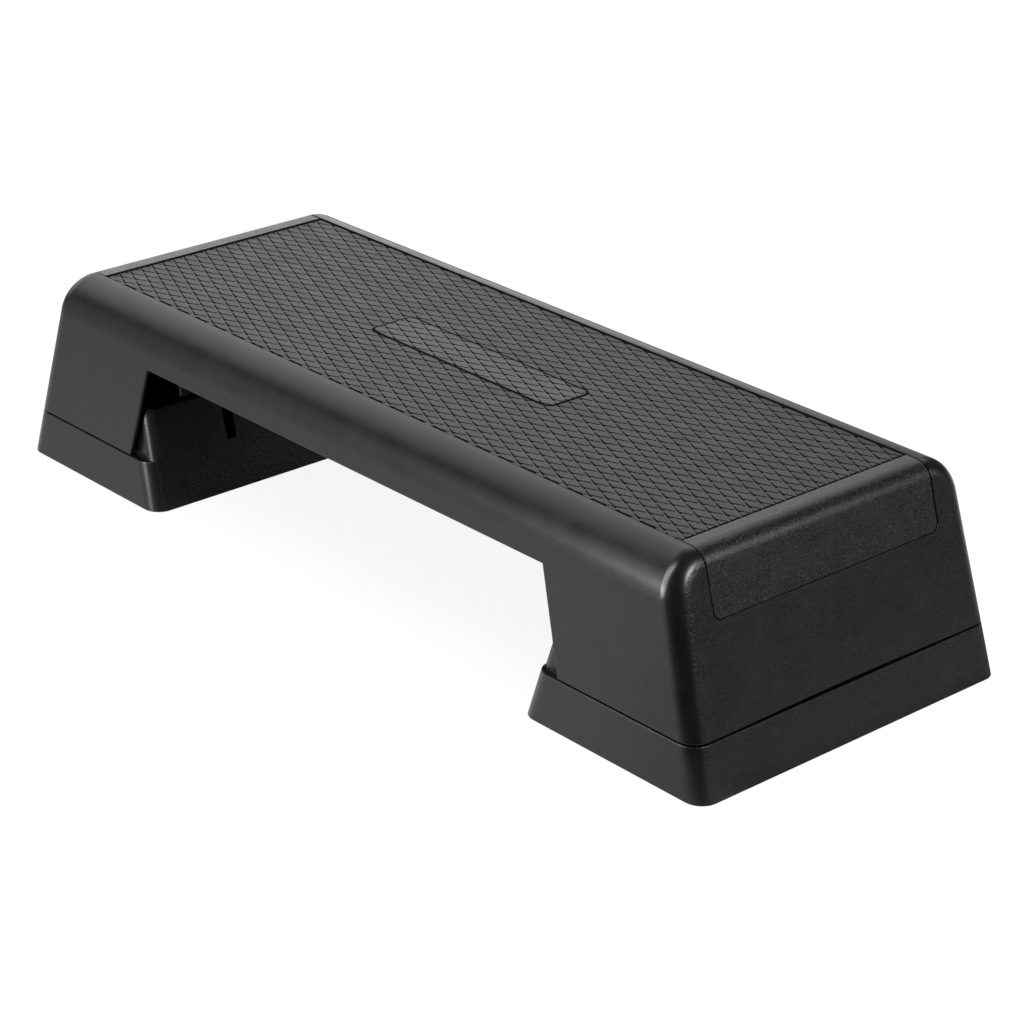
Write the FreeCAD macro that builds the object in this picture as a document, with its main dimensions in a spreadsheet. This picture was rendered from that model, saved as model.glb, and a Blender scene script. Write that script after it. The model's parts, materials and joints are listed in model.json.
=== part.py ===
"""Aerobic step platform: a moulded deck with a rubber tread mat, on two pull-off riser feet with rubber pads.

Millimetres. X runs along the bench, Z is up, and the origin is on the floor under the middle of the deck.
"""
import FreeCAD, Part
import os
import re
from FreeCAD import Placement, Rotation, Vector

SIZES = {
    # whole bench, measured on the floor and at the tread
    "floor_length": 990.0,
    "floor_width": 372.0,
    "top_height": 200.0,
    # horizontal run of each wall per unit of height
    "end_slope": 0.28,
    "side_slope": 0.062,
    # deck shell
    "skirt_height": 50.0,
    "arch_height": 146.5,
    "arch_setback": 206.5,
    "arch_slope": 0.28,
    "arch_edge_radius": 1.5,
    "skirt_edge_radius": 0.8,
    "skirt_bow": 2.0,
    "skirt_bow_margin": 36.0,
    "long_edge_radius": 38.0,
    "end_edge_radius": 18.0,
    "side_wall": 4.0,
    "end_wall": 5.5,
    "top_plate": 3.5,
    "rib_thickness": 3.0,
    "rib_depth": 25.0,
    "bulkhead_setback": 2.5,
    "bulkhead_thickness": 6.0,
    "bulkhead_margin": 61.0,
    "tongue_margin": 46.0,
    "tongue_width": 11.4,
    "tongue_length": 16.0,
    # tread mat
    "mat_thickness": 2.5,
    "mat_margin": 49.3,
    "mat_gap": 0.6,
    "flap_height": 142.0,
    "flap_corner_radius": 8.0,
    "field_margin": 81.3,
    "field_drop": 1.0,
    "label_length": 254.6,
    "label_width": 49.8,
    "label_corner_radius": 8.0,
    "label_groove": 2.6,
    "label_groove_depth": 0.8,
    # riser feet
    "foot_length": 224.2,
    "foot_inner_slope": 0.297,
    "foot_height": 100.0,
    "foot_lift": 0.3,
    "foot_wall": 3.5,
    "foot_corner_radius": 18.0,
    "foot_upper_radius": 12.0,
    "foot_top_radius": 5.0,
    "foot_edge_radius": 1.0,
    "foot_rim_radius": 0.6,
    "shoulder_inset": 8.0,
    "seam_gap": 1.5,
    "slot_clearance": 0.5,
    # rubber pads
    "pad_diameter": 24.0,
    "pad_thickness": 4.0,
    "pad_edge_radius": 1.0,
    "pad_rim": 2.0,
    "stem_diameter": 8.0,
    "stem_length": 10.0,
    "stem_clearance": 0.1,
}
OVERSHOOT = 1.0
LEVEL_TOLERANCE = 0.01
FACING_RATIO = 0.9
ENDS = ((-1, "left"), (1, "right"))
CROSS_RIBS = (-2, -1, 0, 1, 2)
ROW_OF_THREE = (-1, 0, 1)
PAIR = (-1, 1)

doc = FreeCAD.newDocument("step_platform")
sheet = doc.addObject("Spreadsheet::Sheet", "Sizes")
for row, (alias, value) in enumerate(SIZES.items(), start=1):
    sheet.set(f"A{row}", alias)
    sheet.set(f"B{row}", str(value))
    sheet.setAlias(f"B{row}", alias)
doc.recompute()

ALIAS = re.compile(r"\b(" + "|".join(sorted(SIZES, key=len, reverse=True)) + r")\b")


# Formulas over the sheet

def bind(thing, prop, formula):
    """Tie a property to a formula written with the sheet's aliases."""
    thing.setExpression(prop, ALIAS.sub(r"Sizes.\1", str(formula)))


def end_x(height, inset=0):
    """Distance of the sloping end wall from the middle, at a height, moved in by a wall or clearance."""
    return f"(floor_length/2 - end_slope*({height}) - ({inset})*sqrt(1 + end_slope^2))"


def side_y(height, inset=0):
    """Distance of the sloping long wall from the middle, at a height, moved in by a wall or clearance."""
    return f"(floor_width/2 - side_slope*({height}) - ({inset})*sqrt(1 + side_slope^2))"


def foot_x(height, inset=0):
    """Distance of a foot's inner wall from the middle, at a height, moved into the foot."""
    inner = f"floor_length/2 - foot_length + foot_inner_slope*({height})"
    return f"({inner} + ({inset})*sqrt(1 + foot_inner_slope^2))"


def arch_x(height):
    """Half length of the arch under the deck at a height."""
    return f"(floor_length/2 - arch_setback + arch_slope*(arch_height - ({height})))"


CEILING = "(top_height - mat_thickness - top_plate)"
BULKHEAD_X = f"({arch_x('foot_height')} + bulkhead_setback)"
BULKHEAD_BACK = f"({BULKHEAD_X} + bulkhead_thickness)"
TONGUE_END = f"({BULKHEAD_BACK} + tongue_length)"
SHOULDER = "(skirt_height - seam_gap)"
FOOT_CENTRE = "(floor_length/2 - foot_length/2)"
BULKHEAD_SIDE = "(floor_width/2 - bulkhead_margin)"
TONGUE_Y = f"({BULKHEAD_SIDE} - tongue_margin)"
MAT_WIDTH = "(floor_width - 2*mat_margin)"
FIELD_LENGTH = "(floor_length - 2*field_margin)"
FIELD_TOP = "(top_height - field_drop)"
CROSS_RIB_PITCH = "((floor_length - 2*arch_setback)/5)"
LONG_RIB_PITCH = "(floor_width/5)"


# Building blocks

def frustum(body, name, low, high, x_low, x_high, y_low, y_high, kind="Additive"):
    """Block between two heights; x_low and x_high are (min, max) formulas, y_low and y_high half widths."""
    block = body.newObject(f"PartDesign::{kind}Wedge", name)
    block.Placement = Placement(Vector(), Rotation(Vector(1, 0, 0), 90))
    bind(block, "Ymin", low)
    bind(block, "Ymax", high)
    bind(block, "Xmin", x_low[0])
    bind(block, "Xmax", x_low[1])
    bind(block, "X2min", x_high[0])
    bind(block, "X2max", x_high[1])
    bind(block, "Zmin", f"-{y_low}")
    bind(block, "Zmax", y_low)
    bind(block, "Z2min", f"-{y_high}")
    bind(block, "Z2max", y_high)
    doc.recompute()
    return block


def box(name, x_span, y_span, z_span):
    """Box between three pairs of formulas."""
    block = doc.addObject("Part::Box", name)
    for size, axis, (low, high) in zip(("Length", "Width", "Height"), "xyz", (x_span, y_span, z_span)):
        bind(block, size, f"({high}) - ({low})")
        bind(block, f"Placement.Base.{axis}", low)
    return block


def post(name, x, y, z_span, radius):
    """Upright cylinder."""
    cylinder = doc.addObject("Part::Cylinder", name)
    bind(cylinder, "Radius", radius)
    bind(cylinder, "Height", f"({z_span[1]}) - ({z_span[0]})")
    bind(cylinder, "Placement.Base.x", x)
    bind(cylinder, "Placement.Base.y", y)
    bind(cylinder, "Placement.Base.z", z_span[0])
    return cylinder


def edges_where(shape, test):
    """Names of the edges of a shape that pass a test."""
    return [f"Edge{number}" for number, edge in enumerate(shape.Edges, start=1) if test(edge)]


def round_edges(body, base, name, test, radius):
    """Fillet the edges of a feature that pass a test."""
    fillet = body.newObject("PartDesign::Fillet", name)
    fillet.Base = (base, edges_where(base.Shape, test))
    bind(fillet, "Radius", radius)
    body.Tip = fillet
    doc.recompute()
    return fillet


def along(edge, axis):
    """Whether an edge is a straight line that runs mainly along an axis."""
    if edge.Curve.TypeId != "Part::GeomLine":
        return False
    return abs(edge.tangentAt(edge.FirstParameter).dot(axis)) > FACING_RATIO


def middle(edge):
    return edge.valueAt((edge.FirstParameter + edge.LastParameter)/2)


def at_top(shape):
    """Test for the edges at the highest level of a shape."""
    level = max(vertex.Z for vertex in shape.Vertexes)
    return lambda edge: middle(edge).z > level - LEVEL_TOLERANCE


def at_bottom(shape):
    """Test for the edges at the lowest level of a shape."""
    level = min(vertex.Z for vertex in shape.Vertexes)
    return lambda edge: middle(edge).z < level + LEVEL_TOLERANCE


def join(name, parts):
    fused = doc.addObject("Part::MultiFuse", name)
    fused.Shapes = parts
    return fused


def cut(name, base, tool):
    result = doc.addObject("Part::Cut", name)
    result.Base = base
    result.Tool = tool
    return result


def mirrored_span(side, near, far):
    """A span along X on the left (-1) or right (+1) half."""
    return (near, far) if side > 0 else (f"-({far})", f"-({near})")


def centred(width, centre=0):
    return (f"({centre}) - ({width})/2", f"({centre}) + ({width})/2")


# Deck shell

def deck_form(name, low, end_inset, side_inset, top_inset):
    """The deck's outer form, or the same form moved in: sloping walls with rounded top and end edges."""
    body = doc.addObject("PartDesign::Body", name)
    high = f"(top_height - ({top_inset}))"
    ends = [end_x(level, end_inset) for level in (low, high)]
    sides = [side_y(level, side_inset) for level in (low, high)]
    spans = [(f"-{end}", end) for end in ends]
    block = frustum(body, f"{name}_block", low, high, *spans, *sides)
    topmost = at_top(block.Shape)
    rounded = round_edges(
        body, block, f"{name}_long_edges", lambda edge: along(edge, Vector(1, 0, 0)) and topmost(edge),
        f"long_edge_radius - ({top_inset})")
    lowest = at_bottom(rounded.Shape)
    end_faces = [face for face in rounded.Shape.Faces if abs(face.normalAt(0, 0).x) > FACING_RATIO]

    def on_end_outline(edge):
        on_end = any(edge.isSame(other) for face in end_faces for other in face.Edges)
        return on_end and not lowest(edge)

    round_edges(body, rounded, f"{name}_end_edges", on_end_outline, f"end_edge_radius - ({end_inset})")
    return body


def open_arch(body):
    """Cut the arch through both long sides, soften its outer edges and the skirt's lower edge."""
    low = f"skirt_height - {OVERSHOOT}"
    reach = f"(floor_width/2 + {OVERSHOOT})"
    spans = [(f"-{arch_x(level)}", arch_x(level)) for level in (low, "arch_height")]
    arch = frustum(body, "arch", low, "arch_height", *spans, reach, reach, kind="Subtractive")
    body.Tip = arch
    doc.recompute()
    lowest = at_bottom(arch.Shape)
    long_faces = [face for face in arch.Shape.Faces
                  if face.Surface.TypeId == "Part::GeomPlane" and abs(face.normalAt(0, 0).y) > FACING_RATIO]
    arch_reach = sheet.floor_length/2 - sheet.arch_setback + sheet.arch_slope*sheet.arch_height

    def on_arch(edge):
        on_side = any(edge.isSame(other) for face in long_faces for other in face.Edges)
        in_arch = abs(middle(edge).x) < arch_reach and middle(edge).z < sheet.arch_height + LEVEL_TOLERANCE
        return on_side and in_arch and not lowest(edge)

    softened = round_edges(body, arch, "arch_edges", on_arch, "arch_edge_radius")
    outline = at_bottom(softened.Shape)

    def on_skirt(edge):
        across_leg = along(edge, Vector(0, 1, 0)) and abs(middle(edge).x) < arch_reach
        return outline(edge) and not across_leg

    round_edges(body, softened, "skirt_edges", on_skirt, "skirt_edge_radius")


def skirt_bow():
    """Tools that bow the lower edge of each end skirt upwards by a little."""
    radius = "((floor_width - 2*skirt_bow_margin)^2/(8*skirt_bow) + skirt_bow/2)"
    tools = []
    for side, end in ENDS:
        bow = doc.addObject("Part::Cylinder", f"{end}_skirt_bow")
        bind(bow, "Radius", radius)
        bind(bow, "Height", "3*end_wall")
        bow.Placement.Rotation = Rotation(Vector(0, 1, 0), 90)
        wall = end_x("skirt_height")
        span = mirrored_span(side, f"{wall} - 2*end_wall", f"{wall} + end_wall")
        bind(bow, "Placement.Base.x", span[0])
        bind(bow, "Placement.Base.z", f"skirt_height + skirt_bow - {radius}")
        tools.append(bow)
    return tools


def deck_ribs():
    """Ribs under the top plate, and the bulkhead, bearing ribs and guide tongues of each leg box."""
    ribs = []
    thin = "rib_thickness"
    into_plate = f"({CEILING} + top_plate/2)"
    mid_span = (f"{CEILING} - rib_depth", into_plate)
    across = centred("floor_width")
    for number in CROSS_RIBS:
        place = centred(thin, f"{number}*{CROSS_RIB_PITCH}")
        ribs.append(box(f"cross_rib_{number + 3}", place, across, mid_span))
    for number in ROW_OF_THREE:
        place = centred(thin, f"{number}*{LONG_RIB_PITCH}")
        ribs.append(box(f"long_rib_{number + 2}", (f"-{BULKHEAD_BACK}", BULKHEAD_BACK), place, mid_span))
    bearing = ("foot_height", into_plate)
    for side, end in ENDS:
        wall_span = mirrored_span(side, BULKHEAD_X, BULKHEAD_BACK)
        ribs.append(box(f"{end}_bulkhead", wall_span, centred(f"2*{BULKHEAD_SIDE}"), bearing))
        run = mirrored_span(side, BULKHEAD_X, end_x("foot_height"))
        bulb_x = f"{side}*({BULKHEAD_X} + bulkhead_thickness/2)"
        for number in ROW_OF_THREE:
            place = f"{number}*{BULKHEAD_SIDE}"
            ribs.append(box(f"{end}_bearing_rib_{number + 2}", run, centred(thin, place), bearing))
            bulb = f"{end}_bulkhead_bulb_{number + 2}"
            ribs.append(post(bulb, bulb_x, place, bearing, "bulkhead_thickness/2"))
        for number in PAIR:
            ribs += guide_tongue(side, end, number, into_plate)
    return join("deck_ribs", ribs)


def guide_tongue(side, end, number, into_plate):
    """A channel-shaped tongue that hangs to the skirt's lower edge and slides in a foot's slot."""
    place = f"{number}*{TONGUE_Y}"
    hang = ("skirt_height", into_plate)
    name = f"{end}_tongue_{number + 2}"
    web = mirrored_span(side, BULKHEAD_BACK, f"{BULKHEAD_BACK} + rib_thickness")
    pieces = [box(f"{name}_web", web, centred("tongue_width", place), hang)]
    for cheek in PAIR:
        cheek_y = f"{place} + {cheek}*(tongue_width - rib_thickness)/2"
        run = mirrored_span(side, BULKHEAD_BACK, TONGUE_END)
        pieces.append(box(f"{name}_cheek_{cheek + 2}", run, centred("rib_thickness", cheek_y), hang))
    return pieces


def mat_prism(name, gap):
    """Straight prism over the mat's plan and flaps, widened by a gap."""
    body = doc.addObject("PartDesign::Body", name)
    block = body.newObject("PartDesign::AdditiveBox", f"{name}_block")
    low = f"(flap_height - ({gap}))"
    bind(block, "Length", "floor_length")
    bind(block, "Width", f"{MAT_WIDTH} + 2*({gap})")
    bind(block, "Height", f"top_height + {OVERSHOOT} - {low}")
    bind(block, "Placement.Base.x", "-floor_length/2")
    bind(block, "Placement.Base.y", f"-{MAT_WIDTH}/2 - ({gap})")
    bind(block, "Placement.Base.z", low)
    doc.recompute()
    lowest = at_bottom(block.Shape)
    round_edges(
        body, block, f"{name}_corners", lambda edge: along(edge, Vector(1, 0, 0)) and lowest(edge),
        f"flap_corner_radius + ({gap})")
    return body


def make_deck(outer, seat):
    hollow = deck_form("deck_hollow", f"(skirt_height - {OVERSHOOT})", "end_wall", "side_wall",
                       "mat_thickness + top_plate")
    cavity = cut("deck_cavity", hollow, deck_ribs())
    recess = cut("mat_recess", mat_prism("recess_prism", "mat_gap"), seat)
    deck = cut("deck_shell", outer, join("deck_cuts", [cavity, recess] + skirt_bow()))
    deck.Refine = True
    return deck


# Tread mat

def label_block(name, grow):
    """Block over the bare plate in the middle of the tread, grown by a margin."""
    body = doc.addObject("PartDesign::Body", name)
    block = body.newObject("PartDesign::AdditiveBox", f"{name}_box")
    length = f"(label_length + 2*({grow}))"
    width = f"(label_width + 2*({grow}))"
    bind(block, "Length", length)
    bind(block, "Width", width)
    bind(block, "Height", f"label_groove_depth + {OVERSHOOT}")
    bind(block, "Placement.Base.x", f"-{length}/2")
    bind(block, "Placement.Base.y", f"-{width}/2")
    bind(block, "Placement.Base.z", f"{FIELD_TOP} - label_groove_depth")
    doc.recompute()
    round_edges(
        body, block, f"{name}_corners", lambda edge: along(edge, Vector(0, 0, 1)),
        f"label_corner_radius + ({grow})")
    return body


def make_mat(outer, seat):
    """Mat with a lowered field between its end strips and a groove round the bare plate."""
    sheet_form = doc.addObject("Part::Common", "mat_sheet")
    sheet_form.Base = cut("mat_blank", mat_prism("mat_outline", 0), seat)
    sheet_form.Tool = outer
    field = box("field_room", centred(FIELD_LENGTH), centred(f"{MAT_WIDTH} + 2*{OVERSHOOT}"),
                (FIELD_TOP, f"top_height + {OVERSHOOT}"))
    outside = label_block("label_outside", "label_groove")
    groove = cut("label_outline", outside, label_block("label_inside", 0))
    mat = cut("tread_mat", sheet_form, join("mat_cuts", [field, groove]))
    mat.Refine = True
    return mat


# Riser feet

def foot_form(name, low, high, wall, inset, corner, top_radius=None, edge_radius=None):
    """One storey of a foot: its inner wall slopes on, its other walls are moved in by an inset."""
    body = doc.addObject("PartDesign::Body", name)
    moved = f"({wall} + {inset})"
    spans = [(foot_x(level, wall), end_x(level, moved)) for level in (low, high)]
    sides = [side_y(level, moved) for level in (low, high)]
    block = frustum(body, f"{name}_block", low, high, *spans, *sides)
    feature = round_edges(
        body, block, f"{name}_corners", lambda edge: along(edge, Vector(0, 0, 1)), f"{corner} - {wall}")
    if top_radius:
        feature = round_edges(body, feature, f"{name}_top", at_top(feature.Shape), top_radius)
    if edge_radius:
        round_edges(body, feature, f"{name}_rim", at_bottom(feature.Shape), edge_radius)
    return body


def pad_places():
    return [(f"{FOOT_CENTRE} + {ix}*foot_length/4", f"{iy}*{BULKHEAD_SIDE}") for ix in PAIR for iy in PAIR]


def make_foot(label, turn):
    """One riser foot, built on the right and turned about the upright axis."""
    lower = foot_form(f"{label}_lower", "foot_lift", SHOULDER, 0, 0, "foot_corner_radius",
                      top_radius="foot_edge_radius", edge_radius="foot_rim_radius")
    upper = foot_form(f"{label}_upper", f"({SHOULDER} - foot_wall)", "foot_height", 0, "shoulder_inset",
                      "foot_upper_radius", top_radius="foot_top_radius")
    lower_room = foot_form(f"{label}_lower_room", f"(foot_lift - {OVERSHOOT})", f"({SHOULDER} - foot_wall)",
                           "foot_wall", 0, "foot_corner_radius")
    upper_room = foot_form(f"{label}_upper_room", f"({SHOULDER} - 2*foot_wall)", "(foot_height - foot_wall)",
                           "foot_wall", "shoulder_inset", "foot_upper_radius")
    into_top = "(foot_height - foot_wall/2)"
    stand = ("pad_thickness", into_top)
    run = (foot_x(0), end_x(0))
    inside = [box(f"{label}_cross_rib", centred("rib_thickness", FOOT_CENTRE), centred("floor_width"), stand)]
    for number in ROW_OF_THREE:
        place = centred("rib_thickness", f"{number}*{BULKHEAD_SIDE}")
        inside.append(box(f"{label}_rib_{number + 2}", run, place, stand))
    slots = []
    slot_width = "(tongue_width + 2*slot_clearance)"
    slot_back = f"({TONGUE_END} + slot_clearance)"
    for number in PAIR:
        place = f"{number}*{TONGUE_Y}"
        sleeve = centred(f"{slot_width} + 2*rib_thickness", place)
        sleeve_floor = "(skirt_height - slot_clearance - rib_thickness)"
        inside.append(box(f"{label}_sleeve_{number + 2}", (foot_x(0), f"{slot_back} + rib_thickness"), sleeve,
                          (sleeve_floor, into_top)))
        slots.append(box(f"{label}_slot_{number + 2}", (foot_x(0), slot_back), centred(slot_width, place),
                         ("skirt_height - slot_clearance", f"foot_height + {OVERSHOOT}")))
    for number, (x, y) in enumerate(pad_places(), start=1):
        inside.append(post(f"{label}_boss_{number}", x, y, stand, "pad_diameter/2 + pad_rim"))
        slots.append(post(f"{label}_stem_hole_{number}", x, y,
                          ("pad_thickness", "pad_thickness + stem_length + stem_clearance"),
                          "stem_diameter/2 + stem_clearance"))
    rooms = join(f"{label}_rooms", [lower_room, upper_room])
    room = cut(f"{label}_room", rooms, join(f"{label}_inside", inside))
    foot = cut(label, join(f"{label}_outside", [lower, upper]), join(f"{label}_cuts", [room] + slots))
    foot.Refine = True
    foot.Placement = turn
    return foot


def make_pad(label, x, y, turn):
    """Rubber disc with a stem that pushes into its boss."""
    body = doc.addObject("PartDesign::Body", label)
    disc = body.newObject("PartDesign::AdditiveCylinder", f"{label}_disc")
    bind(disc, "Radius", "pad_diameter/2")
    bind(disc, "Height", "pad_thickness")
    doc.recompute()
    round_edges(body, disc, f"{label}_edge", at_bottom(disc.Shape), "pad_edge_radius")
    stem = body.newObject("PartDesign::AdditiveCylinder", f"{label}_stem")
    bind(stem, "Radius", "stem_diameter/2")
    bind(stem, "Height", "pad_thickness/2 + stem_length")
    bind(stem, "Placement.Base.z", "pad_thickness/2")
    body.Tip = stem
    bind(body, "Placement.Base.x", f"{turn}*({x})")
    bind(body, "Placement.Base.y", f"{turn}*({y})")
    return body


# Assembly

def make_parts():
    outer = deck_form("deck_outer", "skirt_height", 0, 0, 0)
    open_arch(outer)
    seat = deck_form("mat_seat", "skirt_height", "mat_thickness", "mat_thickness", "mat_thickness")
    parts = [make_deck(outer, seat), make_mat(outer, seat)]
    for end, turn in (("right", 1), ("left", -1)):
        half_turn = Placement(Vector(), Rotation(Vector(0, 0, 1), 0 if turn > 0 else 180))
        parts.append(make_foot(f"{end}_foot", half_turn))
        for number, (x, y) in enumerate(pad_places(), start=1):
            parts.append(make_pad(f"{end}_pad_{number}", x, y, turn))
    return parts


def check_and_export(parts):
    doc.recompute()
    failed = [item.Label for item in doc.Objects if {"Invalid", "Error"} & set(item.State)]
    if failed:
        raise RuntimeError(f"failed objects: {failed}")
    os.makedirs("parts", exist_ok=True)
    for part in parts:
        shape = part.Shape
        if shape.isNull() or not shape.isValid():
            raise RuntimeError(f"bad shape: {part.Label}")
        print(part.Label, "solids", len(shape.Solids), "volume", round(shape.Volume), shape.BoundBox)
    for part in parts:
        part.Shape.exportStep(f"parts/{part.Label}.step")


check_and_export(make_parts())
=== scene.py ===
"""Aerobic step platform, dressed for looks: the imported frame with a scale-grooved rubber tread,
grained black plastic and a white studio. Metres, in the frame's own axes."""
import json
from math import atan2, cos, pi, radians, sin, sqrt

import bmesh
import bpy
from mathutils import Matrix, Vector
from mathutils.geometry import tessellate_polygon


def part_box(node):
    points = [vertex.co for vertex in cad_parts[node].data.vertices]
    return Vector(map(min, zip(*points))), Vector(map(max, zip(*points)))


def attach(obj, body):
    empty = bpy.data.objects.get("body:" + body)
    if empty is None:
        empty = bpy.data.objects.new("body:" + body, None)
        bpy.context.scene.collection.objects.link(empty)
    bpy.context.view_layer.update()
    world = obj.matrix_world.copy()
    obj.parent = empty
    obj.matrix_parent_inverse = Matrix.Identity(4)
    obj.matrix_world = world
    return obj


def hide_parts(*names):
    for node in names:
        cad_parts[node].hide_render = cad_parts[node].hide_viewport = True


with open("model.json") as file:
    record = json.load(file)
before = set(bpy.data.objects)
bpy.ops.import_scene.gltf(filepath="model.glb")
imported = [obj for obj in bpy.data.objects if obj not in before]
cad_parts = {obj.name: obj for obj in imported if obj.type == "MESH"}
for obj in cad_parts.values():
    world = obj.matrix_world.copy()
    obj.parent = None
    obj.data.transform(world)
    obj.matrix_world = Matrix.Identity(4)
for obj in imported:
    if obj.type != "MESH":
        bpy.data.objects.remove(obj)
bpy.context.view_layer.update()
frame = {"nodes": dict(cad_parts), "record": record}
NODES = frame["nodes"]
SCENE = bpy.context.scene
SCENE.view_settings.view_transform = "Standard"

MM = 0.001
MAT_LOW, MAT_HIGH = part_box("tread_mat")
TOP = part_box("deck_shell")[1].z
# How near the mesh tools take points for one
CUT_TOLERANCE = 0.001*MM
RIM_WELD = 0.005*MM
WELD = 0.01*MM

# Tread: a lowered rubber field with hook-shaped slits, a channel round it and a flap over each end
PITCH_X = 29.77*MM
PITCH_Y = 13.185*MM
PHASE_Y = 1.0*MM
FIELD_Z = TOP - 1.0*MM
SEAT_Z = TOP - 2.4*MM
SLIT_DEPTH = 1.2*MM
STEEP_HALF = 0.95*MM
FLAT_HALF = 0.9*MM
SLIT_INSET = 0.1*MM
RIM_GAP = 0.6*MM
CHANNEL = 2.2*MM
CHANNEL_FLOOR = TOP - 2.1*MM
FLAP_EDGE_X = 413.7*MM
END_CHANNEL = 3.0*MM
FIELD_HALF_X = FLAP_EDGE_X - END_CHANNEL
FIELD_HALF_Y = MAT_HIGH.y + RIM_GAP - CHANNEL
# Between the scale tips the field's near and right edges are cut back, within a strip; the places are where
# a notch starts, is full, is full no more and ends, in mm from a tip
NOTCH = 2.1*MM
END_NOTCH = 0.9*MM
NOTCH_STRIP = 3.4*MM
SIDE_PLACES = (3.6, 5.6, 23.4, 24.8)
END_PLACES = (-4.6, -3.6, 4.6, 5.6)
# Flap, as the end wall under it: a rounded top edge and a straight slope
END_SLOPE = 0.28
FLAP_RADIUS = 18*MM
FLAP_THICK = 2.4*MM
FLAP_CORNER = 8*MM
FLAP_CHAMFER = 0.35*MM
FLAP_HALF_Y = MAT_HIGH.y - 0.8*MM
FLAP_LIP = 0.3*MM
FLAP_BORDER = 0.5*MM
FLAP_ARC_STEPS = 14
FLAP_COLUMNS = 24
# Rows down the apron: shares of its straight part, then distances to its lower edge in mm
APRON_SHARES = (0.75, 0.4)
APRON_TAIL = (8, 5.5, 3.5, 2, 1, 0.4, 0)
# Bare plate in the middle of the tread, level with the scales, in a moat
PLATE_HALF_X = 127.3*MM
PLATE_HALF_Y = 24.9*MM
PLATE_RADIUS = 8*MM
MOAT = 3.0*MM
MOAT_SHIFT = Vector((0.9, -0.9))*MM
MOAT_DEPTH = 1.3*MM
MOAT_LEAN = 0.15*MM
ARC_STEPS = 6
SHARP_ANGLE = radians(32)
# Rubber finishes of the tread, in the order of its materials: name, roughness, height of the grain,
# specular level and colour of the bright flecks painted in as glints of the grain
TREAD_FINISHES = [
    ("tread_scales", 0.42, 0.25*MM, 0.5, 0.006),
    ("tread_flap", 0.26, 0.3*MM, 0.55, 0.022),
    ("tread_plate", 0.4, 0.25*MM, 0.7, 0.006),
    # The recessed faces take a dull, barely reflecting finish, which darkens the slits, moat and sides as
    # painted shade
    ("tread_groove_painted_shade", 0.9, 0.3*MM, 0.1, 0.006),
]
FLAP_FINISH, PLATE_FINISH, GROOVE_FINISH = 1, 2, 3

# The photograph's camera
CAMERA_AZIMUTH = radians(48.571)
CAMERA_ELEVATION = radians(24.45)
CAMERA_ROLL = radians(0.328)
CAMERA_TARGET = Vector((0.28106, -0.20424, 0.20003))
CAMERA_DISTANCE = 2.5363
CAMERA_LENS = 107.12
SENSOR = 36.0


# Slit lattice

LATTICE_A = Vector((PITCH_X/2, PITCH_Y/2))
LATTICE_B = Vector((PITCH_X/2, -PITCH_Y/2))
CELL_S = (-0.77, 0.23)
CELL_T = (-0.13, 0.87)
STEEP_START = Vector((-10.2, 4.15))*MM
STEEP_BEND = Vector((-5.0, 1.85))*MM
FORK = Vector((-2.0, 0.72))*MM
STEEP_END = Vector((1.9, -0.7))*MM
FLAT_NECK = Vector((8.4, 4.88))*MM
FLAT_END = Vector((9.6, 5.36))*MM
# Width of a hook at its start, along its runs and at its blunt end, and the reach of that end
START_SHARE = 0.5
RUN_SHARE = 0.9
BLUNT_SHARE = 1.15
BLUNT_REACH = 1.1


def slit_outline(inset):
    """Plan of one hook, counter-clockwise: a steep slit that runs on past its fork, and a flat slit
    from the fork to a wider blunt end."""
    steep = (FORK - STEEP_BEND).normalized()
    flat = (FLAT_END - FORK).normalized()
    steep_up = Vector((-steep.y, steep.x))
    flat_up = Vector((-flat.y, flat.x))
    half = STEEP_HALF - inset
    low = FLAT_HALF - inset
    turn = flat.dot(steep_up)
    return [
        STEEP_START + START_SHARE*half*steep_up,
        STEEP_START - START_SHARE*half*steep_up,
        STEEP_BEND - RUN_SHARE*half*steep_up,
        FORK - half*steep_up,
        STEEP_END - RUN_SHARE*half*steep_up,
        STEEP_END + RUN_SHARE*half*steep,
        STEEP_END + RUN_SHARE*half*steep_up,
        FORK + (low*steep + half*flat)/turn,
        FLAT_NECK - RUN_SHARE*low*flat_up,
        FLAT_END - BLUNT_SHARE*low*flat_up,
        FLAT_END + BLUNT_REACH*low*flat,
        FLAT_END + BLUNT_SHARE*low*flat_up,
        FLAT_NECK + RUN_SHARE*low*flat_up,
        FORK + (half*flat - low*steep)/turn,
        STEEP_BEND + RUN_SHARE*half*steep_up,
    ]


def cell_mesh():
    """One lattice cell about its hook: the flat top with a hook-shaped hole, and the slit's walls
    and floor."""
    corners = [s*LATTICE_B + t*LATTICE_A for s, t in (
        (CELL_S[0], CELL_T[0]), (CELL_S[1], CELL_T[0]), (CELL_S[1], CELL_T[1]), (CELL_S[0], CELL_T[1]))]
    lip = slit_outline(0)
    floor = slit_outline(SLIT_INSET)
    count = len(lip)
    verts = [(p.x, p.y, FIELD_Z) for p in corners + lip]
    verts += [(p.x, p.y, FIELD_Z - SLIT_DEPTH) for p in floor]
    top = tessellate_polygon([[p.to_3d() for p in corners], [p.to_3d() for p in lip]])
    bottom = tessellate_polygon([[p.to_3d() for p in floor]])
    first = len(corners)
    below = first + count
    faces = [tuple(triangle) for triangle in top]
    faces += [tuple(below + v for v in triangle) for triangle in bottom]
    for n in range(count):
        after = (n + 1) % count
        faces.append((first + n, first + after, below + after, below + n))
    return verts, faces


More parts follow.
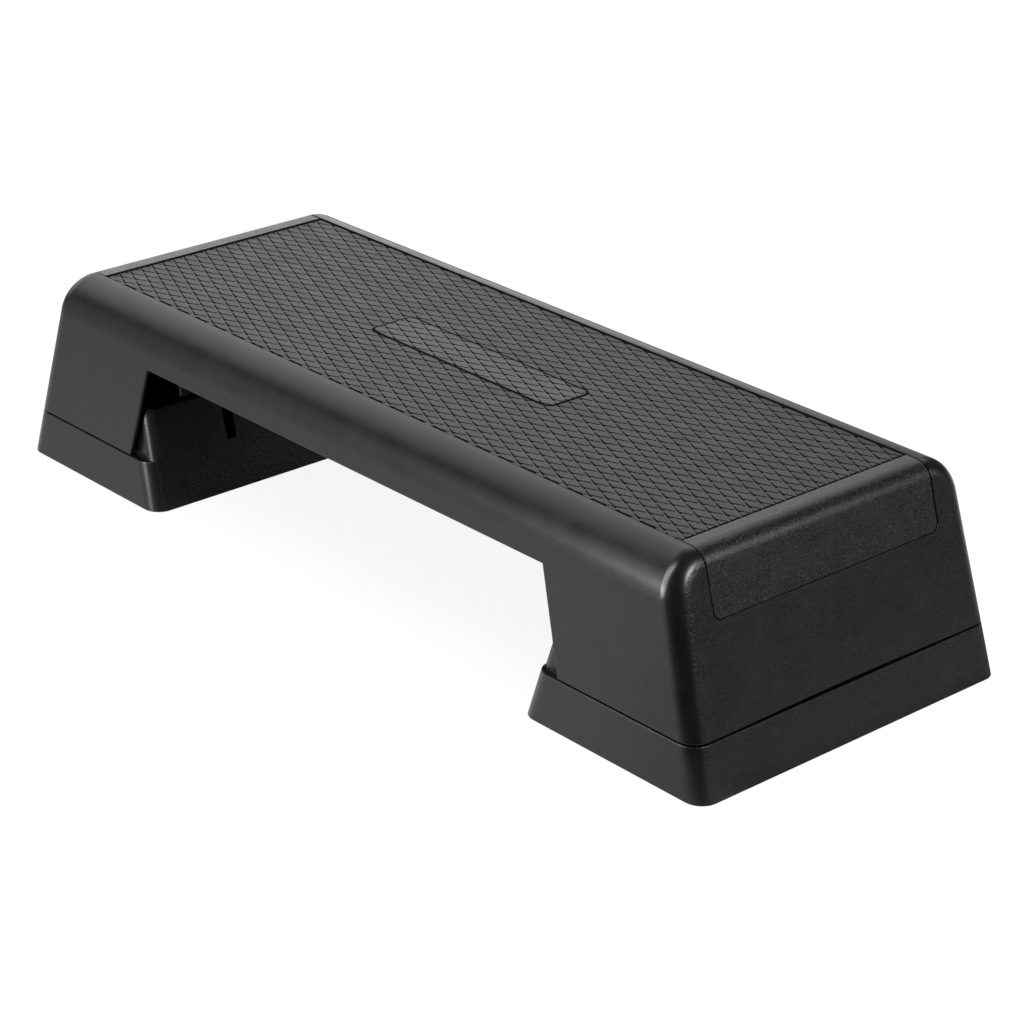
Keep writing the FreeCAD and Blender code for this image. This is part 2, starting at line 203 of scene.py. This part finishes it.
def lattice_sheet(half_x, half_y):
    """A sheet of cells that covers a rectangle, with every normal turned up."""
    verts, faces = cell_mesh()
    all_verts = []
    all_faces = []
    count_x = int(half_x/PITCH_X) + 3
    count_y = int(half_y/PITCH_Y) + 3
    for row in range(-2*count_y, 2*count_y + 1):
        for column in range(-count_x, count_x + 1):
            shift_x = (column + 0.5*(row % 2))*PITCH_X
            shift_y = 0.5*row*PITCH_Y + PHASE_Y
            if abs(shift_x) > half_x + PITCH_X or abs(shift_y) > half_y + PITCH_Y:
                continue
            offset = len(all_verts)
            all_verts += [(x + shift_x, y + shift_y, z) for x, y, z in verts]
            all_faces += [tuple(offset + v for v in face) for face in faces]
    mesh = bpy.data.meshes.new("lattice")
    mesh.from_pydata(all_verts, [], all_faces)
    bm = bmesh.new()
    bm.from_mesh(mesh)
    bpy.data.meshes.remove(mesh)
    bmesh.ops.remove_doubles(bm, verts=bm.verts, dist=WELD)
    for face in bm.faces:
        face.normal_update()
        if face.normal.z < 0:
            face.normal_flip()
    return bm


def with_edges(faces):
    """Faces with all their edges and corners, as the cutting tools want them, always in the same order."""
    geometry = dict.fromkeys(faces)
    for face in faces:
        geometry.update(dict.fromkeys(face.edges))
        geometry.update(dict.fromkeys(face.verts))
    return list(geometry)


def clip(bm, point, outward):
    """Cut the sheet at a line in plan and drop what lies outside it."""
    bmesh.ops.bisect_plane(
        bm, geom=with_edges(bm.faces[:]), dist=CUT_TOLERANCE,
        plane_co=(point[0], point[1], 0), plane_no=(outward[0], outward[1], 0), clear_outer=True)


def close_below(bm, bottom):
    """Walls from the sheet's outline down to a level, and a face under it."""
    rim = [edge for edge in bm.edges if edge.is_boundary]
    made = bmesh.ops.extrude_edge_only(bm, edges=rim)["geom"]
    for vert in (item for item in made if isinstance(item, bmesh.types.BMVert)):
        vert.co.z = bottom
    floor = [item for item in made if isinstance(item, bmesh.types.BMEdge) and item.is_boundary]
    bmesh.ops.edgeloop_fill(bm, edges=floor)
    bmesh.ops.recalc_face_normals(bm, faces=bm.faces)


# Plate and moat

def rounded_sides(grow, shift):
    """Tangent lines of the plate's outline, grown and shifted, as (point, outward) pairs."""
    half_x = PLATE_HALF_X + grow
    half_y = PLATE_HALF_Y + grow
    radius = PLATE_RADIUS + grow
    sides = []
    for turn in range(4*ARC_STEPS):
        angle = 2*pi*turn/(4*ARC_STEPS)
        outward = Vector((cos(angle), sin(angle)))
        core_x = half_x - radius if outward.x > 0 else radius - half_x
        core_y = half_y - radius if outward.y > 0 else radius - half_y
        sides.append((shift + Vector((core_x, core_y)) + radius*outward, outward))
    return sides


def inside(sides, face):
    """Whether a face's middle lies within a convex outline."""
    centre = face.calc_center_median().to_2d()
    return all((centre - point).dot(outward) < 0 for point, outward in sides)


def split_along(bm, sides):
    """Split the sheet along a convex outline."""
    reach = max(point.x for point, _ in sides) + PITCH_X
    faces = [face for face in bm.faces if abs(face.calc_center_median().x) < reach
             and abs(face.calc_center_median().y) < PLATE_HALF_Y + PITCH_X]
    for point, outward in sides:
        cut = bmesh.ops.bisect_plane(
            bm, geom=with_edges(faces), dist=CUT_TOLERANCE,
            plane_co=(point.x, point.y, 0), plane_no=(outward.x, outward.y, 0))["geom"]
        faces = [item for item in cut if isinstance(item, bmesh.types.BMFace)
                 and (item.calc_center_median().to_2d() - point).dot(outward) < 0]


def lower_rim(bm, edges, grow, level):
    """Extrude a rounded outline sideways and down to a level; returns its new corners in order."""
    core_x = PLATE_HALF_X - PLATE_RADIUS
    core_y = PLATE_HALF_Y - PLATE_RADIUS
    made = bmesh.ops.extrude_edge_only(bm, edges=edges)["geom"]
    verts = [item for item in made if isinstance(item, bmesh.types.BMVert)]
    for vert in verts:
        core = Vector((max(-core_x, min(core_x, vert.co.x)), max(-core_y, min(core_y, vert.co.y))))
        vert.co.xy = vert.co.to_2d() + grow*(vert.co.to_2d() - core).normalized()
        vert.co.z = level
    bmesh.ops.remove_doubles(bm, verts=verts, dist=RIM_WELD)
    start = next(vert for vert in verts if vert.is_valid)
    loop = [start]
    while True:
        onward = [edge.other_vert(loop[-1]) for edge in loop[-1].link_edges if edge.is_boundary]
        fresh = [vert for vert in onward if vert not in loop[-2:]]
        if not fresh or fresh[0] is start:
            return loop
        loop.append(fresh[0])


def cut_moat(bm):
    """Steep-walled moat round the bare plate, wider on two sides; the plate's faces get their finish."""
    far_sides = rounded_sides(MOAT, MOAT_SHIFT)
    near_sides = rounded_sides(0, Vector((0, 0)))
    split_along(bm, far_sides)
    split_along(bm, near_sides)
    within = [face for face in bm.faces if inside(far_sides, face)]
    ring = [face for face in within if not inside(near_sides, face)]
    plate = [face for face in within if inside(near_sides, face)]
    bank = dict.fromkeys(edge for face in ring for edge in face.edges)
    bmesh.ops.delete(bm, geom=ring, context="FACES")
    for face in plate:
        face.material_index = PLATE_FINISH
    plate_rim = dict.fromkeys(edge for face in plate for edge in face.edges if edge.is_boundary)
    field_rim = [edge for edge in bank if edge.is_valid and edge.is_boundary and edge not in plate_rim]
    level = FIELD_Z - MOAT_DEPTH
    loops = [lower_rim(bm, field_rim, -MOAT_LEAN, level), lower_rim(bm, list(plate_rim), MOAT_LEAN, level)]
    corners = loops[0] + loops[1]
    for triangle in tessellate_polygon([[vert.co for vert in loop] for loop in loops]):
        bm.faces.new([corners[number] for number in triangle])
    bmesh.ops.recalc_face_normals(bm, faces=bm.faces)


# Field edges

def notch_edge(bm, axis, edge, sign, depth, spans):
    """Cut the field's edge back between the tips; spans are (start, full, full end, end) along the
    other axis."""
    other = 1 - axis
    inner = edge - sign*NOTCH_STRIP
    across = [0, 0, 0]
    across[axis] = 1
    place = [0, 0, 0]
    place[axis] = inner
    bmesh.ops.bisect_plane(
        bm, geom=with_edges(bm.faces[:]), dist=CUT_TOLERANCE, plane_co=place, plane_no=across)
    strip = with_edges([face for face in bm.faces if sign*(face.calc_center_median()[axis] - inner) > 0])
    along = [0, 0, 0]
    along[other] = 1
    for line in (line for span in spans for line in span):
        place = [0, 0, 0]
        place[other] = line
        strip = bmesh.ops.bisect_plane(
            bm, geom=strip, dist=CUT_TOLERANCE, plane_co=place, plane_no=along)["geom"]
    for vert in (item for item in strip if isinstance(item, bmesh.types.BMVert)):
        into = sign*(vert.co[axis] - inner)
        at = vert.co[other]
        for start, full, full_end, end in spans:
            if into > 0 and start < at < end:
                rise = min(1, (at - start)/(full - start), (end - at)/(end - full_end))
                vert.co[axis] -= sign*depth*rise*into/NOTCH_STRIP
                break


def side_spans():
    """Notches along the near long edge: one from after each tip to before the next."""
    count = int(FIELD_HALF_X/PITCH_X) + 1
    tips = [column*PITCH_X for column in range(-count, count + 1)]
    spans = [[tip + place*MM for place in SIDE_PLACES] for tip in tips]
    return [span for span in spans if span[0] > -FIELD_HALF_X and span[3] < FIELD_HALF_X]


def end_spans():
    """Notches along the right end: one below the end of each flat slit."""
    count = int(FIELD_HALF_Y/PITCH_Y) + 1
    tips = [(row + 0.5)*PITCH_Y + PHASE_Y for row in range(-count, count + 1)]
    spans = [[tip + place*MM for place in END_PLACES] for tip in tips]
    return [span for span in spans if span[0] > -FIELD_HALF_Y and span[3] < FIELD_HALF_Y]


def tread_field():
    bm = lattice_sheet(FIELD_HALF_X, FIELD_HALF_Y)
    for sign in (-1, 1):
        clip(bm, (sign*FIELD_HALF_X, 0), (sign, 0))
        clip(bm, (0, sign*FIELD_HALF_Y), (0, sign))
    cut_moat(bm)
    notch_edge(bm, 1, -FIELD_HALF_Y, -1, NOTCH, side_spans())
    notch_edge(bm, 0, FIELD_HALF_X, 1, END_NOTCH, end_spans())
    close_below(bm, SEAT_Z)
    # Every face below the field's top gets the dull finish: painted shade in the slits, moat and sides
    for face in bm.faces:
        if min(vert.co.z for vert in face.verts) < FIELD_Z - WELD:
            face.material_index = GROOVE_FINISH
    return bm


# End flaps

def flap_rows():
    """(outer point, inner point, distance to the lower edge) down one flap's section, in X and Z."""
    lean = sqrt(1 + END_SLOPE**2)
    normal = Vector((1/lean, END_SLOPE/lean))
    low = Vector((MAT_HIGH.x, MAT_LOW.z))
    centre_z = TOP - FLAP_RADIUS
    touch_z = centre_z + FLAP_RADIUS*normal.y
    touch = low + Vector((-END_SLOPE, 1))*(touch_z - low.y)
    centre = touch - FLAP_RADIUS*normal
    inner_radius = FLAP_RADIUS - FLAP_THICK
    edge = FLAP_EDGE_X
    rows = [
        (Vector((FIELD_HALF_X, CHANNEL_FLOOR)), Vector((FIELD_HALF_X, SEAT_Z))),
        (Vector((edge, CHANNEL_FLOOR)), Vector((edge - FLAP_LIP, SEAT_Z))),
        (Vector((edge, TOP - FLAP_LIP)), Vector((edge, SEAT_Z))),
        (Vector((edge + FLAP_LIP, TOP)), Vector((edge + FLAP_LIP, SEAT_Z))),
    ]
    last = atan2(normal.x, normal.y)
    for step in range(FLAP_ARC_STEPS + 1):
        angle = last*step/FLAP_ARC_STEPS
        outward = Vector((sin(angle), cos(angle)))
        rows.append((centre + FLAP_RADIUS*outward, centre + inner_radius*outward))
    down = (low - touch).normalized()
    length = (low - touch).length
    tail = [distance*MM for distance in APRON_TAIL]
    distances = [share*(length - FLAP_CORNER) + FLAP_CORNER for share in APRON_SHARES] + tail
    for distance in distances:
        point = touch + (length - distance)*down
        rows.append((point, point - FLAP_THICK*normal))
    ends = [None]*(len(rows) - len(tail)) + tail
    return [(outer, inner, end) for (outer, inner), end in zip(rows, ends)]


def end_flap(side):
    """Flap over one end: lip in the channel, flat strip, rounded edge and a straight apron with
    rounded corners."""
    bm = bmesh.new()
    grid = []
    rows = flap_rows()
    for number, (outer, inner, distance) in enumerate(rows):
        half = FLAP_HALF_Y
        if distance is not None:
            half -= FLAP_CORNER - sqrt(max(0, FLAP_CORNER**2 - (FLAP_CORNER - distance)**2))
        places = [-half, -half + FLAP_BORDER]
        places += [(2*n/FLAP_COLUMNS - 1)*(half - FLAP_BORDER) for n in range(1, FLAP_COLUMNS)]
        places += [half - FLAP_BORDER, half]
        line = []
        for column, y in enumerate(places):
            top = outer
            if column in (0, len(places) - 1) or number == len(rows) - 1:
                top = outer + (inner - outer).normalized()*FLAP_CHAMFER
            line.append((bm.verts.new((side*top.x, side*y, top.y)),
                         bm.verts.new((side*inner.x, side*y, inner.y))))
        grid.append(line)
    width = len(grid[0])
    for row in range(len(grid) - 1):
        for column in range(width - 1):
            quad = [grid[row][column], grid[row + 1][column],
                    grid[row + 1][column + 1], grid[row][column + 1]]
            bm.faces.new([pair[0] for pair in quad])
            bm.faces.new([pair[1] for pair in reversed(quad)])
        for column in (0, width - 1):
            bm.faces.new([grid[row][column][0], grid[row][column][1],
                          grid[row + 1][column][1], grid[row + 1][column][0]])
    for row in (0, len(grid) - 1):
        for column in range(width - 1):
            bm.faces.new([grid[row][column][0], grid[row][column + 1][0],
                          grid[row][column + 1][1], grid[row][column][1]])
    bmesh.ops.recalc_face_normals(bm, faces=bm.faces)
    for face in bm.faces:
        face.smooth = True
        face.material_index = FLAP_FINISH
    return bm


def make_tread():
    """All shells of the tread in one piece, each with its own finish."""
    mesh = bpy.data.meshes.new("tread")
    whole = bmesh.new()
    for shell in (tread_field(), end_flap(1), end_flap(-1)):
        part = bpy.data.meshes.new("shell")
        shell.to_mesh(part)
        shell.free()
        whole.from_mesh(part)
        bpy.data.meshes.remove(part)
    whole.to_mesh(mesh)
    whole.free()
    mesh.set_sharp_from_angle(angle=SHARP_ANGLE)
    tread = bpy.data.objects.new("tread", mesh)
    SCENE.collection.objects.link(tread)
    for finish in TREAD_FINISHES:
        mesh.materials.append(rubber(*finish))
    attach(tread, "deck")
    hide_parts("tread_mat")


# Materials

IOR = 1.5
# The X part of a normal, from where a surface starts to count as an end to where it wholly does
END_FACING = (0.82, 0.95)
# Ranges of noise over which the colour's tone, its bright flecks painted in as glints and the wear rise, and
# what they rise to
TONE_RANGE = (0.35, 0.7)
TONES = (0.002, 0.004)
GLINT_SPECK_RANGE = (0.48, 0.7)
WEAR_RANGE = (0.3, 0.7)
PLASTIC_WEAR = 0.03
RUBBER_WEAR = 0.04
# Colour of the bright flecks painted on the ends as glints of their grain
END_PAINTED_GLINT = 0.012
# Noise scales, and the shares of the noises that make up the grain
PLASTIC_SCALES = {"tone": 60.0, "glint_specks": 800.0, "fine": 1400.0, "warp": 300.0, "cells": 620.0, "wear": 25.0}
RUBBER_SCALES = {"tone": 90.0, "glint_specks": 750.0, "fine": 900.0, "coarse": 480.0, "wear": 40.0}
CELL_SHARE = 0.8
WARP_SHARE = 1.6
FINE_SHARE = 0.5
COARSE_SHARE = 0.5
# Height of the plastic's grain and radius of its edges
PLASTIC_GRAIN = 0.2*MM
SOFT_EDGE = 0.9*MM
# Plastic finishes by slot: name, roughness on the sides and on the ends, and the grain's share on the sides
PLASTIC_FINISHES = {
    "deck_plastic": ("deck_plastic_grain", 0.28, 0.3, 0.04),
    "foot_plastic": ("foot_plastic_grain", 0.3, 0.32, 0.1),
}
PAD_FINISH = ("pad_rubber_grain", 0.7, 0.4*MM, 0.5, 0.006)


class Nodes:
    """Short hand for building one node tree."""

    def __init__(self, tree):
        self.tree = tree
        tree.nodes.clear()

    def add(self, kind, inputs=None, **settings):
        node = self.tree.nodes.new(kind)
        for name, value in settings.items():
            setattr(node, name, value)
        for name, value in (inputs or {}).items():
            if isinstance(value, bpy.types.NodeSocket):
                self.tree.links.new(value, node.inputs[name])
            else:
                node.inputs[name].default_value = value
        return node

    def noise(self, where, scale, detail=2.0, rough=0.5):
        node = self.add("ShaderNodeTexNoise", {"Vector": where, "Scale": scale, "Detail": detail,
                                               "Roughness": rough})
        return node.outputs["Fac"]

    def spread(self, value, low, high, to_low, to_high, kind="LINEAR"):
        node = self.add("ShaderNodeMapRange", {"Value": value, "From Min": low, "From Max": high,
                                               "To Min": to_low, "To Max": to_high}, interpolation_type=kind)
        return node.outputs["Result"]

    def math(self, kind, first, second):
        node = self.add("ShaderNodeMath", operation=kind)
        for socket, value in zip(node.inputs, (first, second)):
            if isinstance(value, bpy.types.NodeSocket):
                self.tree.links.new(value, socket)
            else:
                socket.default_value = value
        return node.outputs["Value"]

    def along(self, vector, direction):
        """How far a vector reaches in a direction."""
        node = self.add("ShaderNodeVectorMath", operation="DOT_PRODUCT")
        self.tree.links.new(vector, node.inputs[0])
        node.inputs[1].default_value = direction
        return node.outputs["Value"]

    def finish(self, colour, rough, height, distance, specular=0.5, edge=0.0):
        """The surface itself: bumps of a height, and edges that look rounded where edge is a radius."""
        bump = self.add("ShaderNodeBump", {"Height": height, "Strength": 1.0, "Distance": distance})
        if edge:
            rounded = self.add("ShaderNodeBevel", {"Radius": edge}, samples=4)
            self.tree.links.new(rounded.outputs["Normal"], bump.inputs["Normal"])
        shader = self.add("ShaderNodeBsdfPrincipled", {"Base Color": colour, "Roughness": rough, "IOR": IOR,
                                                       "Specular IOR Level": specular,
                                                       "Normal": bump.outputs["Normal"]})
        self.add("ShaderNodeOutputMaterial", {"Surface": shader.outputs["BSDF"]})


def new_material(name):
    material = bpy.data.materials.new(name)
    material.use_nodes = True
    return material, Nodes(material.node_tree)


def black(nodes, where, scale, glint_specks):
    """Uneven near-black with bright flecks, painted glints, added to it."""
    tone = nodes.spread(nodes.noise(where, scale, 3.0), *TONE_RANGE, *TONES)
    return nodes.math("ADD", tone, glint_specks)


def plastic(name, rough, end_rough, bare):
    """Satin black plastic: near smooth on the long sides, a leathery grain on the ends with bright flecks
    painted in as its glints; bare is the grain's share on the long sides."""
    material, nodes = new_material(name)
    where = nodes.add("ShaderNodeTexCoord").outputs["Object"]
    normal = nodes.add("ShaderNodeNewGeometry").outputs["Normal"]
    facing = nodes.add("ShaderNodeSeparateXYZ", {"Vector": normal}).outputs["X"]
    on_end = nodes.spread(nodes.math("ABSOLUTE", facing, 0), *END_FACING, 0, 1, "SMOOTHSTEP")
    scales = PLASTIC_SCALES
    glint_specks = nodes.noise(where, scales["glint_specks"], 1.0)
    # Bright flecks painted into the colour of the ends as glints of the grain
    painted_glints = nodes.spread(glint_specks, *GLINT_SPECK_RANGE, 0, END_PAINTED_GLINT)
    colour = black(nodes, where, scales["tone"], nodes.math("MULTIPLY", painted_glints, on_end))
    fine = nodes.noise(where, scales["fine"], 2.0)
    warp = nodes.noise(where, scales["warp"], 3.0, 0.6)
    cells = nodes.add("ShaderNodeTexVoronoi", {"Vector": where, "Scale": scales["cells"]},
                      feature="SMOOTH_F1")
    wrinkle = nodes.math("ADD", nodes.math("MULTIPLY", cells.outputs["Distance"], CELL_SHARE),
                         nodes.math("MULTIPLY", warp, WARP_SHARE))
    grain = nodes.math("ADD", wrinkle, nodes.math("MULTIPLY", fine, FINE_SHARE))
    height = nodes.math("MULTIPLY", grain, nodes.spread(on_end, 0, 1, bare, 1))
    patch = nodes.noise(where, scales["wear"], 4.0)
    worn = nodes.spread(patch, *WEAR_RANGE, -PLASTIC_WEAR, PLASTIC_WEAR)
    satin = nodes.math("ADD", nodes.spread(on_end, 0, 1, rough, end_rough), worn)
    nodes.finish(colour, satin, height, PLASTIC_GRAIN, edge=SOFT_EDGE)
    return material


def rubber(name, rough, grain, specular, glint_paint):
    """Black rubber with a granular surface; grain is the height of its bumps, and the last argument the
    colour of bright flecks painted in as its glints."""
    material, nodes = new_material(name)
    where = nodes.add("ShaderNodeTexCoord").outputs["Object"]
    scales = RUBBER_SCALES
    glint_specks = nodes.noise(where, scales["glint_specks"], 1.0)
    # Bright flecks painted into the colour as glints of the grain
    painted_glints = nodes.spread(glint_specks, *GLINT_SPECK_RANGE, 0, glint_paint)
    colour = black(nodes, where, scales["tone"], painted_glints)
    fine = nodes.noise(where, scales["fine"], 2.0, 0.6)
    coarse = nodes.noise(where, scales["coarse"])
    height = nodes.math("ADD", fine, nodes.math("MULTIPLY", coarse, COARSE_SHARE))
    patch = nodes.noise(where, scales["wear"], 4.0)
    dull = nodes.spread(patch, *WEAR_RANGE, rough - RUBBER_WEAR, rough + RUBBER_WEAR)
    nodes.finish(colour, dull, height, grain, specular)
    return material


def dress_nodes():
    """Finishes for the solids that stay as they are."""
    finishes = {slot: plastic(*finish) for slot, finish in PLASTIC_FINISHES.items()}
    finishes["pad_rubber"] = rubber(*PAD_FINISH)
    for entry in frame["record"]["subparts"]:
        finish = finishes.get(entry["material_slot"])
        if finish is None:
            continue
        mesh = NODES[entry["node"]].data
        mesh.materials.clear()
        mesh.materials.append(finish)


# Studio

# Pale walls and panels round the object: bearing from +Y towards +X, elevation, full within and gone beyond
# these angles, all in degrees, and level
ROOM_LEVEL = 0.09
PANELS = [
    (-80, 30, 10, 38, 1.3),
    (-34, 40, 6, 20, 1.2),
    (-50, 4, 4, 17, 1.5),
    (-150, 9, 10, 34, 0.65),
    (46, 20, 5, 16, 1.5),
]
# The floor's glow in reflections, a painted reflection that is dim under the object as painted shade: beside
# the object, where it falls to the far left and fades to the front, past its ends, where it falls outwards,
# under the right part of the arch, behind the object, and elsewhere
FLOOR_SIDE = 0.95
FLOOR_FAR_LEFT = 0.52
FLOOR_END = 0.36
FLOOR_FAR_END = 0.05
FLOOR_ARCH = 0.12
FLOOR_BACK = 0.6
FLOOR_REST = 0.01
# Where these begin and end, in metres along X, along Y or along the direction to the front
FLOOR_FRONT = (0.75, -0.66, 0)
FRONT_FADE = (0.33, 0.75)
SIDE_EDGE = (0.1, 0.19)
LEFT_FALL = (-1.2, 0.1)
END_EDGE = (0.45, 0.55)
END_FALL = (0.7, 1.5)
END_REACH = (-0.3, 0.0)
ARCH_RISE = (-0.2, -0.03)
BACK_RISE = (0.28, 0.5)
# The floor's width, its colour as seen and as it lights other surfaces, and the glow's share for the camera
# and in reflections
FLOOR_SIZE = 14
FLOOR_PALE = 0.92
FLOOR_BOUNCE = 0.35
SEEN_SHARE = 0.88
GLOSSY_SHARE = 0.95
# Area lamps: name, what they look at, direction to them, distance, width and height, and watts
NEAR_CORNER = Vector((0.43, -0.165, 0.18))
LEFT_FOOT_CORNER = Vector((-0.28, -0.17, 0.27))
LAMPS = [
    ("left_strip", NEAR_CORNER, (-0.38, -0.712, 0.588), 1.6, (0.45, 2.1), 26),
    ("right_box", NEAR_CORNER, (0.83, 0.25, 0.5), 1.8, (0.6, 0.6), 22),
    ("low_strip", LEFT_FOOT_CORNER, (0, -1, 0), 1.35, (0.3, 0.54), 10),
]
# Soft light from straight above, which doesn't show in reflections
SKY_ENERGY = 3.0
SKY_ANGLE = radians(70)


def seen_white(nodes):
    """Two values: 1 for what the camera sees, also through glass, and 1 for what shows in reflections."""
    path = nodes.add("ShaderNodeLightPath")
    seen = nodes.math("MAXIMUM", path.outputs["Is Camera Ray"], path.outputs["Is Transmission Ray"])
    return seen, path.outputs["Is Glossy Ray"]


def make_world():
    """Studio with pale panels and a dark camera side; white wherever the camera looks."""
    world = bpy.data.worlds.new("studio")
    SCENE.world = world
    world.use_nodes = True
    nodes = Nodes(world.node_tree)
    direction = nodes.add("ShaderNodeTexCoord").outputs["Generated"]
    level = ROOM_LEVEL
    for bearing, elevation, full, gone, strength in PANELS:
        flat = cos(radians(elevation))
        centre = (flat*sin(radians(bearing)), flat*cos(radians(bearing)), sin(radians(elevation)))
        panel = nodes.spread(nodes.along(direction, centre), cos(radians(gone)), cos(radians(full)),
                             0, strength, "SMOOTHSTEP")
        level = nodes.math("ADD", panel, level)
    seen, _ = seen_white(nodes)
    dark = nodes.math("SUBTRACT", 1, seen)
    level = nodes.math("ADD", seen, nodes.math("MULTIPLY", level, dark))
    background = nodes.add("ShaderNodeBackground", {"Color": (1, 1, 1, 1), "Strength": level})
    nodes.add("ShaderNodeOutputWorld", {"Surface": background.outputs["Background"]})


def make_floor():
    """Pale floor that keeps the object's shadow and reads white; in reflections it glows by place, a painted
    reflection with painted shade under the object.
    """
    bpy.ops.mesh.primitive_plane_add(size=FLOOR_SIZE)
    floor = bpy.context.object
    floor.name = "floor"
    material, nodes = new_material("floor_white")
    floor.data.materials.append(material)
    place = nodes.add("ShaderNodeTexCoord").outputs["Object"]
    x = nodes.along(place, (1, 0, 0))
    y = nodes.along(place, (0, 1, 0))
    outward = nodes.math("ABSOLUTE", x, 0)
    fade = nodes.spread(nodes.along(place, FLOOR_FRONT), *FRONT_FADE, 1, 0, "SMOOTHSTEP")
    beside = nodes.spread(nodes.along(place, (0, -1, 0)), *SIDE_EDGE, 0, 1, "SMOOTHSTEP")
    leftward = nodes.spread(x, *LEFT_FALL, FLOOR_FAR_LEFT, FLOOR_SIDE)
    past = nodes.spread(outward, *END_EDGE, 0, 1, "SMOOTHSTEP")
    falling = nodes.spread(outward, *END_FALL, FLOOR_END, FLOOR_FAR_END)
    reach = nodes.spread(y, *END_REACH, 0, 1, "SMOOTHSTEP")
    arch = nodes.spread(x, *ARCH_RISE, FLOOR_REST, FLOOR_ARCH, "SMOOTHSTEP")
    back = nodes.spread(y, *BACK_RISE, 0, FLOOR_BACK, "SMOOTHSTEP")
    covered = nodes.math("SUBTRACT", 1, nodes.math("MAXIMUM", beside, past))
    # Painted reflection: the glow that reflections see, set by place and dim under the object as painted
    # shade
    painted_reflection = nodes.math("MULTIPLY", nodes.math("MULTIPLY", fade, beside), leftward)
    at_ends = nodes.math("MULTIPLY", nodes.math("MULTIPLY", past, reach), falling)
    painted_reflection = nodes.math("ADD", painted_reflection, at_ends)
    painted_reflection = nodes.math("ADD", painted_reflection, nodes.math("MULTIPLY", arch, covered))
    painted_reflection = nodes.math("ADD", painted_reflection, nodes.math("MULTIPLY", back, nodes.math("SUBTRACT", 1, past)))
    seen, glossy = seen_white(nodes)
    colour = nodes.spread(seen, 0, 1, FLOOR_BOUNCE, FLOOR_PALE)
    diffuse = nodes.add("ShaderNodeBsdfDiffuse", {"Color": colour})
    level = nodes.math("ADD", seen, nodes.math("MULTIPLY", glossy, painted_reflection))
    glow = nodes.add("ShaderNodeEmission", {"Color": (1, 1, 1, 1), "Strength": level})
    share = nodes.math("ADD", nodes.math("MULTIPLY", seen, SEEN_SHARE),
                       nodes.math("MULTIPLY", glossy, GLOSSY_SHARE))
    mix = nodes.add("ShaderNodeMixShader", {"Fac": share})
    nodes.tree.links.new(diffuse.outputs["BSDF"], mix.inputs[1])
    nodes.tree.links.new(glow.outputs["Emission"], mix.inputs[2])
    nodes.add("ShaderNodeOutputMaterial", {"Surface": mix.outputs["Shader"]})


def softbox(name, target, direction, distance, size, power):
    """Rectangular area lamp that looks at a point from a direction."""
    lamp = bpy.data.lights.new(name, "AREA")
    lamp.shape = "RECTANGLE"
    lamp.size = size[0]
    lamp.size_y = size[1]
    lamp.energy = power
    rig = bpy.data.objects.new(name, lamp)
    SCENE.collection.objects.link(rig)
    away = Vector(direction).normalized()
    rig.location = target + distance*away
    rig.rotation_euler = away.to_track_quat("Z", "Y").to_euler()
    rig.visible_camera = False


def make_lamps():
    for lamp in LAMPS:
        softbox(*lamp)
    sky = bpy.data.lights.new("sky", "SUN")
    sky.energy = SKY_ENERGY
    sky.angle = SKY_ANGLE
    overhead = bpy.data.objects.new("sky", sky)
    SCENE.collection.objects.link(overhead)
    overhead.visible_glossy = False


def make_camera():
    a, e, roll = CAMERA_AZIMUTH, CAMERA_ELEVATION, CAMERA_ROLL
    back = Vector((sin(a)*cos(e), -cos(a)*cos(e), sin(e)))
    right = Vector((cos(a), sin(a), 0))
    up = back.cross(right)
    rolled_right = cos(roll)*right + sin(roll)*up
    rolled_up = -sin(roll)*right + cos(roll)*up
    data = bpy.data.cameras.new("camera")
    data.sensor_width = SENSOR
    data.lens = CAMERA_LENS
    camera = bpy.data.objects.new("camera", data)
    SCENE.collection.objects.link(camera)
    turn = Matrix((rolled_right, rolled_up, back)).transposed().to_4x4()
    camera.matrix_world = Matrix.Translation(CAMERA_TARGET + CAMERA_DISTANCE*back) @ turn
    SCENE.camera = camera


make_tread()
dress_nodes()
make_world()
make_floor()
make_lamps()
make_camera()
